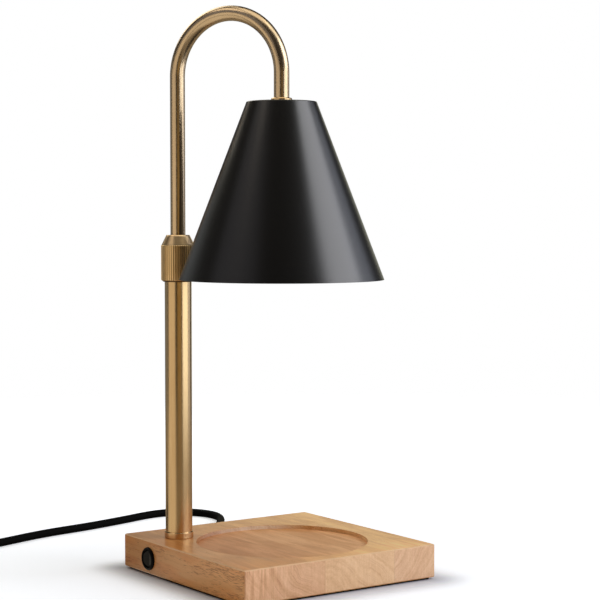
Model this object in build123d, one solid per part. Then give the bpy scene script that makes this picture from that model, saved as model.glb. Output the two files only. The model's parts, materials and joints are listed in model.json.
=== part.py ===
from build123d import *
import math
import os

# Candle warmer lamp: a square wooden base with a shallow round seat in its top,
# a two-stage brass pole with a knurled lock collar, a gooseneck arm and a
# black cone shade with a reflector bulb that warms what stands in the seat.
#
# Frame (mm): origin on the surface it stands on, under the middle of the
# square base. +Z up, +Y to the rear face (the cord leaves there), +X to the
# right seen from the front. The pole stands near the rear left corner.

# ---------------------------------------------------------------- dimensions
BASE = 150.0            # side of the square block
PAD_T = 1.2             # foam pad under the block
PAD_INSET = 2.0
BLOCK_T = 22.0          # wood thickness
Z0 = PAD_T              # underside of the wood
ZT = Z0 + BLOCK_T       # top of the wood
EDGE = 0.7              # eased edges of the wood
SEAT_X, SEAT_Y = -1.1, -7.5
SEAT_R = 57.15
SEAT_D = 2.6

POLE_X, POLE_Y = -51.0, 42.7
POLE_OD, POLE_ID = 18.0, 16.0
RING_OD, RING_H = 19.3, 4.6
POLE_TOP = 197.0

COLLAR_Z0, COLLAR_Z1 = 195.5, 226.7
KNURL_Z0, KNURL_Z1 = 196.3, 220.0
COLLAR_OD = 22.7
COLLAR_TOP_D = 15.2
RIBS = 46
RIB_DEPTH = 0.50        # depth of the straight grooves
RIB_LAND = 0.54         # share of the pitch left at full diameter

ARM_OD, ARM_ID = 10.0, 8.2
ARM_BOTTOM = 132.0
ARM_SPRING = 331.4      # height where the bend starts
BEND_R = 40.1
ARM_DIR = -64.5         # compass of the arm in the base's plan, degrees
ARM_END = 302.0         # lower end of the drop inside the shade

SHADE_RB, SHADE_RT = 66.3, 22.6
SHADE_Z0, SHADE_Z1 = 198.5, 312.9
SHADE_W = 1.0
FLANGE_D, FLANGE_T = 13.6, 2.4

SWITCH_Y, SWITCH_Z = 41.9, 11.3
SWITCH_OD = 15.2

CORD_D = 6.0
EXIT_X, EXIT_Z = 33.0, 11.5
RELIEF_END_Y = 108.0

COIL_X, COIL_Y = -156.8, 218.9
COIL_RI, COIL_RO, COIL_H = 23.6, 42.4, 12.6

# route of the free cord, from the strain relief to the coil
CORD_ROUTE = [
    (33.0, 108.0, 11.5), (33.8, 121.5, 9.4), (38.5, 137.0, 5.2), (48.5, 152.0, 3.1),
    (60.5, 167.5, 3.0), (70.5, 182.5, 3.0), (74.0, 198.0, 3.0), (70.3, 212.8, 3.0),
    (60.0, 224.2, 3.0), (45.5, 229.4, 3.0), (28.6, 227.6, 3.0), (4.0, 219.5, 3.0),
    (-33.0, 210.0, 3.0), (-72.0, 204.0, 3.0), (-112.0, 190.0, 3.0), (-150.0, 180.5, 3.4),
]
# route from the coil to the plug
TAIL_ROUTE = [
    (-158.0, 182.9, 8.6), (-174.0, 182.5, 8.2), (-190.0, 186.0, 5.4), (-203.0, 195.0, 3.2),
    (-212.0, 208.0, 3.2), (-217.0, 223.0, 4.4), (-218.5, 238.0, 6.6),
]
PLUG_X, PLUG_Y, PLUG_Z = -218.5, 238.0, 7.0

LAMP_X = POLE_X + 2 * BEND_R * math.cos(math.radians(ARM_DIR))
LAMP_Y = POLE_Y + 2 * BEND_R * math.sin(math.radians(ARM_DIR))

os.makedirs("parts", exist_ok=True)
made = {}


def put(name, shape):
    solids = shape.solids() if hasattr(shape, "solids") else [shape]
    out = Compound(children=list(solids)) if len(solids) > 1 else solids[0]
    export_step(out, "parts/%s.step" % name)
    made[name] = out
    print("%-18s solids %d  volume %.1f" % (name, len(solids), sum(s.volume for s in solids)))
    return out


def cyl(x, y, z0, z1, d):
    return Pos(x, y, (z0 + z1) / 2) * Cylinder(d / 2, z1 - z0)


def block(x0, x1, y0, y1, z0, z1):
    return Pos((x0 + x1) / 2, (y0 + y1) / 2, (z0 + z1) / 2) * Box(x1 - x0, y1 - y0, z1 - z0)


def turned(points, x, y):
    """A solid of revolution about the vertical through (x, y) from (radius, z) points."""
    face = make_face(Plane.XZ * Polyline(*points, close=True))
    return Pos(x, y, 0) * revolve(face, Axis.Z)


def hexagon(x, y, z0, z1, across, bore):
    h = extrude(RegularPolygon(across / math.sqrt(3), 6), z1 - z0)
    h = Pos(x, y, z0) * h
    h = h & cyl(x, y, z0, z1, across * 1.12)
    return h - cyl(x, y, z0 - 1, z1 + 1, bore)


def tube_along(points, diameter, label):
    """A round bar along straight runs joined by tangent arcs; prints its radii and volume."""
    pts = [Vector(*p) for p in points]
    radii = []
    for i in range(1, len(pts) - 1):
        a, b = pts[i] - pts[i - 1], pts[i + 1] - pts[i]
        turn = a.get_angle(b)
        radii.append(0.45 * min(a.length, b.length) / math.tan(math.radians(turn) / 2))
    path = FilletPolyline(*pts, radius=radii)
    start = Plane(origin=pts[0], z_dir=(pts[1] - pts[0]))
    solid = sweep(start * Circle(diameter / 2), path=path)
    section = math.pi * diameter ** 2 / 4
    print("%s: radii %s" % (label, [round(r, 1) for r in radii]))
    print("%s: length %.1f volume %.1f section x length %.1f" % (label, path.length, solid.volume, section * path.length))
    return solid


# ---------------------------------------------------------------- base
H = BASE / 2
wood = block(-H, H, -H, H, Z0, ZT)
wood = fillet(wood.edges().filter_by(Axis.Z), 1.0)
wood = chamfer(wood.faces().sort_by(Axis.Z)[-1].edges(), EDGE)
wood = chamfer(wood.faces().sort_by(Axis.Z)[0].edges(), EDGE)
wood -= cyl(SEAT_X, SEAT_Y, ZT - SEAT_D, ZT + 5, 2 * SEAT_R)
# wiring pocket from below, its cover rebate, and the holes
POCKET = (-71.0, 44.0, 20.0, 66.0)          # x0, x1, y0, y1
POCKET_TOP = 15.2
COVER = (-72.6, 50.0, 14.0, 71.6)
COVER_T = 2.0
wood -= block(POCKET[0], POCKET[1], POCKET[2], POCKET[3], Z0 - 1, POCKET_TOP)
wood -= block(COVER[0], COVER[1], COVER[2], COVER[3], Z0 - 1, Z0 + COVER_T)
wood -= cyl(POLE_X, POLE_Y, POCKET_TOP - 1, ZT + 1, 10.4)
wood -= Pos(-H, SWITCH_Y, SWITCH_Z) * Rot(0, 90, 0) * Cylinder(6.3, 24.6)     # switch hole
wood -= Pos(EXIT_X, 70, EXIT_Z) * Rot(90, 0, 0) * Cylinder(4.6, 14)          # cord hole
COVER_SCREWS = [(47.0, 17.0), (47.0, 68.7), (-20.0, 17.0), (-20.0, 68.7)]
for sx, sy in COVER_SCREWS:
    wood -= cyl(sx, sy, Z0, Z0 + 11.0, 2.6)
CLAMP_SCREWS = [(EXIT_X - 6.5, 54.0), (EXIT_X + 6.5, 54.0)]
for sx, sy in CLAMP_SCREWS:
    wood -= cyl(sx, sy, POCKET_TOP - 1, POCKET_TOP + 4.0, 2.2)
put("base_block", wood)

pad = extrude(RectangleRounded(BASE - 2 * PAD_INSET, BASE - 2 * PAD_INSET, 3.0), PAD_T)
put("base_pad", pad)

cover = block(COVER[0] + 0.3, COVER[1] - 0.3, COVER[2] + 0.3, COVER[3] - 0.3, Z0, Z0 + COVER_T)
screws = []
for sx, sy in COVER_SCREWS:
    cover -= cyl(sx, sy, Z0 - 1, Z0 + COVER_T + 1, 3.2)
    cover -= turned([(0, Z0 - 0.01), (2.7, Z0 - 0.01), (1.55, Z0 + 1.2), (0, Z0 + 1.2)], sx, sy)
    s = turned([(0, Z0), (2.6, Z0), (1.45, Z0 + 1.15), (1.3, Z0 + 2.0), (1.3, Z0 + 9.5), (0, Z0 + 10.6)], sx, sy)
    s -= block(sx - 1.7, sx + 1.7, sy - 0.3, sy + 0.3, Z0 - 1, Z0 + 0.6)
    s -= block(sx - 0.3, sx + 0.3, sy - 1.7, sy + 1.7, Z0 - 1, Z0 + 0.6)
    screws.append(s)
put("bottom_cover", cover)
put("cover_screws", Compound(children=screws))

# ---------------------------------------------------------------- pole
RZ = ZT + RING_H
put("foot_ring", turned([
    (5.0, ZT), (RING_OD / 2 - 0.4, ZT), (RING_OD / 2, ZT + 0.4), (RING_OD / 2, RZ - 0.7), (RING_OD / 2 - 0.3, RZ - 0.3),
    (POLE_OD / 2 - 0.35, RZ - 0.3), (POLE_OD / 2 - 0.35, RZ), (POLE_ID / 2, RZ), (POLE_ID / 2, RZ + 5.6),
    (POLE_ID / 2 - 0.6, RZ + 6.2), (5.0, RZ + 6.2)], POLE_X, POLE_Y))
put("pole_nipple", cyl(POLE_X, POLE_Y, 9.6, 33.4, 10.0) - cyl(POLE_X, POLE_Y, 0, 40, 7.4))
put("pole_washer", cyl(POLE_X, POLE_Y, 14.0, POCKET_TOP, 17.0) - cyl(POLE_X, POLE_Y, 0, 40, 10.2))
put("pole_nut", hexagon(POLE_X, POLE_Y, 10.4, 14.0, 14.0, 10.0))
put("lower_tube", cyl(POLE_X, POLE_Y, RZ, POLE_TOP, POLE_OD) - cyl(POLE_X, POLE_Y, RZ - 1, POLE_TOP + 1, POLE_ID))

# threaded body at the pole's top, with the seat for the split collet
put("collet_body", turned([
    (5.3, 184.0), (POLE_ID / 2 - 0.5, 184.0), (POLE_ID / 2, 184.6), (POLE_ID / 2, POLE_TOP), (POLE_OD / 2, POLE_TOP),
    (POLE_OD / 2, POLE_TOP + 1.4), (8.3, POLE_TOP + 1.4), (8.3, 210.4), (7.9, 211.0), (7.15, 211.0),
    (5.9, 203.6), (5.3, 203.6)], POLE_X, POLE_Y))
collet = turned([
    (5.05, 203.9), (5.75, 203.9), (6.95, 211.0), (6.95, 212.4), (6.1, 217.4), (5.05, 217.4)], POLE_X, POLE_Y)
for a in (0, 120, 240):
    slit = Pos(POLE_X, POLE_Y, 0) * Rot(0, 0, a + 20) * block(4.0, 9.0, -0.45, 0.45, 206.5, 219.0)
    collet -= slit
put("collet", collet)

# knurled lock collar
ring_pts = []
for i in range(RIBS):
    for step, r in ((-RIB_LAND / 2, COLLAR_OD / 2), (RIB_LAND / 2, COLLAR_OD / 2), (0.5, COLLAR_OD / 2 - RIB_DEPTH)):
        a = 2 * math.pi * (i + step) / RIBS
        ring_pts.append((r * math.cos(a), r * math.sin(a)))
knurl = Pos(POLE_X, POLE_Y, KNURL_Z0) * extrude(make_face(Polyline(*ring_pts, close=True)), KNURL_Z1 - KNURL_Z0)
RC = COLLAR_OD / 2
knurl = knurl & turned([
    (0, KNURL_Z0), (RC - 0.5, KNURL_Z0), (RC + 0.05, KNURL_Z0 + 0.55), (RC + 0.05, KNURL_Z1 - 0.5), (RC - 0.35, KNURL_Z1), (0, KNURL_Z1)],
    POLE_X, POLE_Y)
collar = knurl + turned([
    (0, COLLAR_Z0), (RC - 1.5, COLLAR_Z0), (RC - 0.8, KNURL_Z0), (RC - 0.8, KNURL_Z1 - 0.2), (RC - 0.35, KNURL_Z1),
    (RC - 0.55, KNURL_Z1 + 0.5), (COLLAR_TOP_D / 2 + 0.5, COLLAR_Z1 - 0.7), (COLLAR_TOP_D / 2, COLLAR_Z1), (0, COLLAR_Z1)],
    POLE_X, POLE_Y)
collar -= turned([
    (0, COLLAR_Z0 - 1), (9.35, COLLAR_Z0 - 1), (9.35, POLE_TOP + 2.2), (8.38, POLE_TOP + 2.2), (8.38, 212.2), (7.35, 212.9),
    (6.45, 218.4), (5.35, 219.2), (5.35, COLLAR_Z1 - 0.8), (5.75, COLLAR_Z1 + 0.01), (0, COLLAR_Z1 + 0.01)], POLE_X, POLE_Y)
put("lock_collar", collar)

# ---------------------------------------------------------------- arm
put("arm_guide", turned([
    (5.06, 133.2), (7.6, 133.2), (7.93, 133.6), (7.93, 140.4), (7.6, 140.8), (5.06, 140.8)], POLE_X, POLE_Y))
rings = []
for z0 in (132.0, 141.0):
    rings.append(cyl(POLE_X, POLE_Y, z0, z0 + 1.0, 13.2) - cyl(POLE_X, POLE_Y, z0 - 1, z0 + 3, ARM_OD))
put("retaining_rings", Compound(children=rings))

ux, uy = math.cos(math.radians(ARM_DIR)), math.sin(math.radians(ARM_DIR))


def arm_point(along, z):
    return Vector(POLE_X + ux * along, POLE_Y + uy * along, z)


def gooseneck(z_bottom, z_end):
    s2 = BEND_R / math.sqrt(2)
    up = Line(arm_point(0, z_bottom), arm_point(0, ARM_SPRING))
    over = ThreePointArc(arm_point(0, ARM_SPRING), arm_point(BEND_R - s2, ARM_SPRING + s2), arm_point(BEND_R, ARM_SPRING + BEND_R))
    down = ThreePointArc(arm_point(BEND_R, ARM_SPRING + BEND_R), arm_point(BEND_R + s2, ARM_SPRING + s2), arm_point(2 * BEND_R, ARM_SPRING))
    drop = Line(arm_point(2 * BEND_R, ARM_SPRING), arm_point(2 * BEND_R, z_end))
    return Wire([up, over, down, drop])


neck = gooseneck(ARM_BOTTOM - 0.6, ARM_END)
start = Plane(origin=arm_point(0, ARM_BOTTOM - 0.6), z_dir=(0, 0, 1))
arm_outer = sweep(start * Circle(ARM_OD / 2), path=neck)
arm_inner = sweep(start * Circle(ARM_ID / 2), path=neck)
put("arm_tube", arm_outer - arm_inner)

cable_path = gooseneck(ARM_BOTTOM - 0.6, 300.0)
put("arm_cable", sweep(start * Circle(2.5), path=cable_path))

# ---------------------------------------------------------------- shade
SL = (SHADE_RB - SHADE_RT) / (SHADE_Z1 - SHADE_Z0)
WH = SHADE_W * math.sqrt(1 + SL * SL)
profile = Plane.XZ * Polyline(
    (5.15, SHADE_Z1), (SHADE_RT, SHADE_Z1), (SHADE_RB, SHADE_Z0), (SHADE_RB - WH, SHADE_Z0),
    (SHADE_RT + SL * SHADE_W - WH, SHADE_Z1 - SHADE_W), (5.15, SHADE_Z1 - SHADE_W), close=True)
shade = revolve(make_face(profile), Axis.Z)
top_edge = [e for e in shade.edges().filter_by(GeomType.CIRCLE) if abs(e.radius - SHADE_RT) < 0.01]
shade = fillet(top_edge, 2.0 * 0.45)
put("shade", Pos(LAMP_X, LAMP_Y, 0) * shade)

FT = SHADE_Z1 + FLANGE_T
put("shade_flange", turned([
    (5.0, SHADE_Z1), (FLANGE_D / 2 - 0.3, SHADE_Z1), (FLANGE_D / 2, SHADE_Z1 + 0.3), (FLANGE_D / 2, FT - 0.6),
    (FLANGE_D / 2 - 0.6, FT), (5.0, FT)], LAMP_X, LAMP_Y))
put("shade_washer", cyl(LAMP_X, LAMP_Y, 310.9, 311.9, 17.0) - cyl(LAMP_X, LAMP_Y, 300, 320, 10.1))

# hat-shaped steel bracket that carries the lamp holder
BR_W = 12.0
brk = block(-15.2, 15.2, -BR_W / 2, BR_W / 2, 309.5, 310.9)
for s in (-1, 1):
    brk += block(min(s * 15.2, s * 14.0), max(s * 15.2, s * 14.0), -BR_W / 2, BR_W / 2, 300.0, 309.6)
    brk += block(min(s * 15.2, s * 6.2), max(s * 15.2, s * 6.2), -BR_W / 2, BR_W / 2, 300.0, 301.2)
    brk -= cyl(s * 9.5, 0, 299, 302, 3.2)
brk -= cyl(0, 0, 305, 312, 10.1)
put("holder_bracket", Pos(LAMP_X, LAMP_Y, 0) * brk)
put("shade_nut", hexagon(LAMP_X, LAMP_Y, 305.6, 309.5, 14.0, 10.0))

# ceramic twist-lock lamp holder: the pins enter round holes and turn in arc slots
PIN_R = 5.0
TWIST = 25.0
holder = Pos(0, 0, 278.0) * extrude(Circle(14.0), 22.0)
holder = chamfer(holder.edges().filter_by(GeomType.CIRCLE), 0.8)
for k in (0, 180):
    slot = SlotArc(CenterArc((0, 0), PIN_R, k - TWIST, TWIST), 5.3)
    holder -= Pos(0, 0, 277.0) * extrude(slot, 9.6)
for s in (-1, 1):
    holder -= cyl(s * 9.5, 0, 292.0, 301.0, 2.6)
holder -= cyl(0, 0, 294.0, 301.0, 5.0)
put("lamp_holder", Pos(LAMP_X, LAMP_Y, 0) * holder)
bs = []
for s in (-1, 1):
    b = turned([(0, 293.5), (1.3, 294.2), (1.3, 301.2), (2.6, 301.2), (2.6, 302.0), (1.9, 303.0), (0, 303.0)], LAMP_X + s * 9.5, LAMP_Y)
    b -= block(LAMP_X + s * 9.5 - 3, LAMP_X + s * 9.5 + 3, LAMP_Y - 0.35, LAMP_Y + 0.35, 302.3, 304)
    bs.append(b)
put("bracket_screws", Compound(children=bs))

# ---------------------------------------------------------------- reflector bulb
BZ = 277.7
put("bulb_base", turned([
    (0, BZ), (12.6, BZ), (13.4, BZ - 0.8), (13.4, 262.0), (12.2, 258.6), (0, 258.6)], LAMP_X, LAMP_Y))
put("bulb_reflector", turned([
    (12.2, 258.6), (14.6, 257.0), (18.6, 247.5), (22.6, 235.0), (24.2, 228.6), (25.0, 227.4), (25.0, 225.0),
    (23.6, 225.0), (23.6, 227.3), (22.8, 228.9), (21.2, 235.4), (17.3, 247.0), (13.2, 256.4), (6.0, 257.3), (6.0, 258.6)],
    LAMP_X, LAMP_Y))
put("bulb_lens", turned([(0, 224.6), (10.0, 224.75), (20.0, 225.1), (23.5, 225.3), (23.5, 227.1), (0, 226.6)], LAMP_X, LAMP_Y))
put("bulb_capsule", turned([
    (0, 258.6), (3.2, 258.6), (3.2, 252.0), (4.4, 249.5), (4.6, 242.0), (3.6, 238.4), (1.2, 236.4), (0, 236.2)], LAMP_X, LAMP_Y))
pins = []
for k in (0, 180):
    px, py = LAMP_X + PIN_R * math.cos(math.radians(k)), LAMP_Y + PIN_R * math.sin(math.radians(k))
    pins.append(turned([(0, BZ), (1.6, BZ), (1.6, BZ + 4.6), (2.4, BZ + 5.0), (2.4, BZ + 6.8), (2.0, BZ + 7.2), (0, BZ + 7.2)], px, py))
put("bulb_pins", Compound(children=pins))

# ---------------------------------------------------------------- switch on the left face
# local frame: axis points out of the left face (-X)


def out_of_left(profile):
    """A solid of revolution about the switch axis from (radius, depth) points; depth 0 is the wood's face, positive out of it."""
    face = make_face(Plane.XY * Polyline(*[(r, d) for r, d in profile], close=True))
    body = revolve(face, Axis.Y)
    return Pos(-H, SWITCH_Y, SWITCH_Z) * Rot(0, 0, 90) * body


SR = SWITCH_OD / 2
housing = out_of_left([
    (0, -11.3), (5.4, -11.3), (6.15, -10.4), (6.15, 0.0), (SR, 0.0), (SR, 0.9), (SR - 0.7, 1.7), (6.3, 1.9), (5.9, 1.4),
    (5.9, -7.3), (0, -7.3)])
PIVOT_X = -H - 0.2 + 2.4
pin_hole = Pos(PIVOT_X, SWITCH_Y, SWITCH_Z) * Cylinder(0.8, 13.4)
housing -= pin_hole
put("switch_housing", housing)
put("rocker_pin", Pos(PIVOT_X, SWITCH_Y, SWITCH_Z) * Cylinder(0.8, 12.2))
# rocker: a round button with two faces that meet in a shallow upright valley, tipped so that its rear half stands out
ROCK = 9.0
side = Polyline((-3.4, 4.4), (-1.5, 5.3), (2.0, 5.3), (3.1, 4.95), (2.1, 0.0), (3.1, -4.95), (2.0, -5.3), (-1.5, -5.3), (-3.4, -4.4), (-2.8, 0.0), close=True)
rock = Pos(0, 5.6, 0) * extrude(Plane.XZ * make_face(side), 11.2)
if abs(rock.center().Y) > 0.5:
    rock = Pos(0, -rock.center().Y, 0) * rock
rock = rock & (Rot(0, 90, 0) * Cylinder(5.3, 12))
rock -= Rot(90, 0, 0) * Cylinder(0.86, 14)
# local +X of the button points out of the housing, which is -X of the lamp
rock = Pos(PIVOT_X, SWITCH_Y, SWITCH_Z) * Rot(-90, 0, 0) * Rot(0, 0, 180) * Rot(0, ROCK, 0) * rock
put("switch_rocker", rock)
terms = [block(-64.0 + 0.3, -60.9, SWITCH_Y - 1.6, SWITCH_Y + 1.6, SWITCH_Z + dz - 0.4, SWITCH_Z + dz + 0.4) for dz in (-3.6, 1.6)]
put("switch_terminals", Compound(children=terms))

# ---------------------------------------------------------------- wiring in the base
tb = block(-30.0, -8.0, 24.0, 38.0, 3.4, 13.0)
ts = []
tb_holes = []
for ty in (27.6, 34.4):
    tb -= Pos(-19.0, ty, 7.4) * Rot(0, 90, 0) * Cylinder(1.7, 24)
    for tx in (-25.5, -12.5):
        tb -= cyl(tx, ty, 8.6, 14.0, 3.2)
        sc = cyl(tx, ty, 9.3, 12.4, 3.2) - block(tx - 2, tx + 2, ty - 0.3, ty + 0.3, 11.8, 13.0)
        ts.append(sc)
put("terminal_block", tb)
put("terminal_screws", Compound(children=ts))

put("base_cable", tube_along([
    (-30.1, 31.0, 6.0), (-38.0, 32.6, 5.7), (-46.0, 38.0, 5.6), (-51.0, 42.68, 8.9), (-51.0, 42.7, 17.0), (-51.02, 42.72, 54.0)], 3.8, "base_cable"))
leads = []
for (z, yy, off) in ((SWITCH_Z - 3.6, 26.2, 0.0), (SWITCH_Z + 1.6, 23.4, 1.6)):
    leads.append(tube_along([
        (-60.9, SWITCH_Y, z), (-60.2 - off * 0.2, SWITCH_Y - 9.0, z - 0.8), (-55.0, yy + 1.5, z - 1.8), (-44.0, yy - 0.4, 7.6 + off * 2), (-31.0, yy + 1.2 - off * 0.2, 7.4 + off * 2)], 1.7, "switch_lead"))
put("switch_leads", Compound(children=leads))

# strain relief: inner flange, neck through the wood, outer flange and a ribbed taper
relief_pts = [(0, 63.8), (5.6, 63.8), (6.0, 64.2), (6.0, 66.0), (4.55, 66.0), (4.55, 75.0), (6.4, 75.0), (6.4, 76.4), (5.9, 77.2)]
yy, rr = 77.2, 5.0
n_rib = 6
for i in range(n_rib):
    r0 = 5.0 - 1.05 * i / n_rib
    relief_pts += [(r0, yy + 0.4), (r0 - 0.12, yy + 3.0), (r0 - 0.95, yy + 3.3), (r0 - 1.0, yy + 4.4)]
    yy += 4.5
relief_pts += [(3.95, yy + 0.3), (3.9, RELIEF_END_Y - 0.4), (3.6, RELIEF_END_Y), (0, RELIEF_END_Y)]
relief = revolve(make_face(Plane.XY * Polyline(*relief_pts, close=True)), Axis.Y)
relief = Pos(EXIT_X, 0, EXIT_Z) * relief
relief -= block(EXIT_X - 8, EXIT_X + 8, 60.0, 66.0, POCKET_TOP - 0.1, 22.0)     # the inner flange is cut flat under the wood
put("strain_relief", relief)
put("inner_cord", tube_along([
    (EXIT_X, 63.8, EXIT_Z), (EXIT_X + 0.1, 46.0, EXIT_Z - 0.1), (26.0, 37.0, 9.6), (12.0, 32.2, 8.4), (-7.8, 31.0, 7.6)], 5.6, "inner_cord"))
clamp = block(EXIT_X - 9.5, EXIT_X + 9.5, 50.5, 57.5, 5.4, 8.4)
cs = []
for sx, sy in CLAMP_SCREWS:
    clamp -= cyl(sx, sy, 5, 9, 2.6)
    s = turned([(0, 3.6), (1.8, 3.6), (2.3, 4.2), (2.3, 5.4), (1.1, 5.4), (1.1, 17.6), (0, 18.4)], sx, sy)
    s -= block(sx - 2.5, sx + 2.5, sy - 0.3, sy + 0.3, 3, 4.3)
    cs.append(s)
put("cord_clamp", clamp)
put("clamp_screws", Compound(children=cs))

# ---------------------------------------------------------------- free cord
put("power_cord", tube_along(CORD_ROUTE, CORD_D, "power_cord"))
put("cord_coil", Pos(COIL_X, COIL_Y, 0) * extrude(Circle(COIL_RO) - Circle(COIL_RI), COIL_H))
TIE_A = 40.0
tie = block(COIL_RI - 1.2, COIL_RO + 1.2, -5.0, 5.0, 0.0, COIL_H + 1.2) - block(COIL_RI - 0.2, COIL_RO + 0.2, -6.0, 6.0, 0.9, COIL_H + 0.1)
put("cord_tie", Pos(COIL_X, COIL_Y, 0) * Rot(0, 0, TIE_A) * tie)
put("cord_tail", tube_along(TAIL_ROUTE, CORD_D, "cord_tail"))

# moulded two-pin plug, lying flat
strain = revolve(make_face(Plane.XY * Polyline((0, PLUG_Y), (3.7, PLUG_Y), (4.0, PLUG_Y + 0.6), (5.6, PLUG_Y + 20.0), (0, PLUG_Y + 20.0), close=True)), Axis.Y)
strain = Pos(PLUG_X, 0, PLUG_Z) * strain
P0 = PLUG_Y + 18.0
outline = Polyline((-6.5, P0), (6.5, P0), (13.5, P0 + 12.0), (17.2, P0 + 26.0), (17.2, P0 + 33.0), (13.0, P0 + 36.0), (-13.0, P0 + 36.0),
                   (-17.2, P0 + 33.0), (-17.2, P0 + 26.0), (-13.5, P0 + 12.0), close=True)
body = Pos(PLUG_X, 0, PLUG_Z - 6.8) * extrude(make_face(outline), 13.6)
body = fillet(body.edges().filter_by(Axis.Z), 2.0)
body = fillet(body.faces().sort_by(Axis.Z)[-1].edges() + body.faces().sort_by(Axis.Z)[0].edges(), 1.6)
put("plug_body", body + strain)
pp = []
for s in (-1, 1):
    p = revolve(make_face(Plane.XY * Polyline((0, P0 + 35.0), (2.0, P0 + 35.0), (2.0, P0 + 53.6), (1.2, P0 + 55.0), (0, P0 + 55.0), close=True)), Axis.Y)
    pp.append(Pos(PLUG_X + s * 9.3, 0, PLUG_Z) * p)
put("plug_pins", Compound(children=pp))

print("nodes", len(made))
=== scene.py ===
import json
import math
import random

import bmesh
import bpy
from mathutils import Matrix, Vector


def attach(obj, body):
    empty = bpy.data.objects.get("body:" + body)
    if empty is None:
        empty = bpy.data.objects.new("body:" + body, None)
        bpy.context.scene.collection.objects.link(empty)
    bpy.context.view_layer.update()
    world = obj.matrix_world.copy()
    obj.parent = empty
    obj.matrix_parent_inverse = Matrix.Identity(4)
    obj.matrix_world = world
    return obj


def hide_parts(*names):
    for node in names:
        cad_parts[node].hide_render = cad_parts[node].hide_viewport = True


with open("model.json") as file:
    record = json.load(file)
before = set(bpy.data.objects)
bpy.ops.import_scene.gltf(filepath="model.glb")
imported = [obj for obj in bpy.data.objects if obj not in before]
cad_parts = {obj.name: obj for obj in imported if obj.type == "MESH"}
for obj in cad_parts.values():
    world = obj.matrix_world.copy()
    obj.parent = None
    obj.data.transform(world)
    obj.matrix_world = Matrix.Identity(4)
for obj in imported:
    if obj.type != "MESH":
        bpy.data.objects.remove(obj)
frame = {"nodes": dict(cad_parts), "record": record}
nodes = frame["nodes"]
bpy.context.view_layer.update()
random.seed(7)
MM = 0.001
scene = bpy.context.scene

# ------------------------------------------------------------------ sizes (mm, as in the CAD)
BASE = 150.0
ZT = 23.2
SEAT = (-1.1, -7.5, 57.15, 2.6)
POLE = (-51.0, 42.7)
ARM_SPRING, BEND_R, ARM_DIR = 331.4, 40.1, math.radians(-64.5)
LAMP = (POLE[0] + 2 * BEND_R * math.cos(ARM_DIR), POLE[1] + 2 * BEND_R * math.sin(ARM_DIR))
SHADE_RB, SHADE_RT, SHADE_Z0, SHADE_Z1 = 66.3, 22.6, 198.5, 312.9

# ------------------------------------------------------------------ camera
cam_data = bpy.data.cameras.new("camera")
cam = bpy.data.objects.new("camera", cam_data)
scene.collection.objects.link(cam)
cam_data.sensor_width = 36.0
cam_data.lens = 103.96
cam.location = (-0.64577, -0.95468, 0.24295)
cam.rotation_euler = (math.radians(90 - 2.954), 0, -math.atan2(0.5712, 0.8208))
cam_data.clip_start, cam_data.clip_end = 0.05, 50
scene.camera = cam


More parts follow.
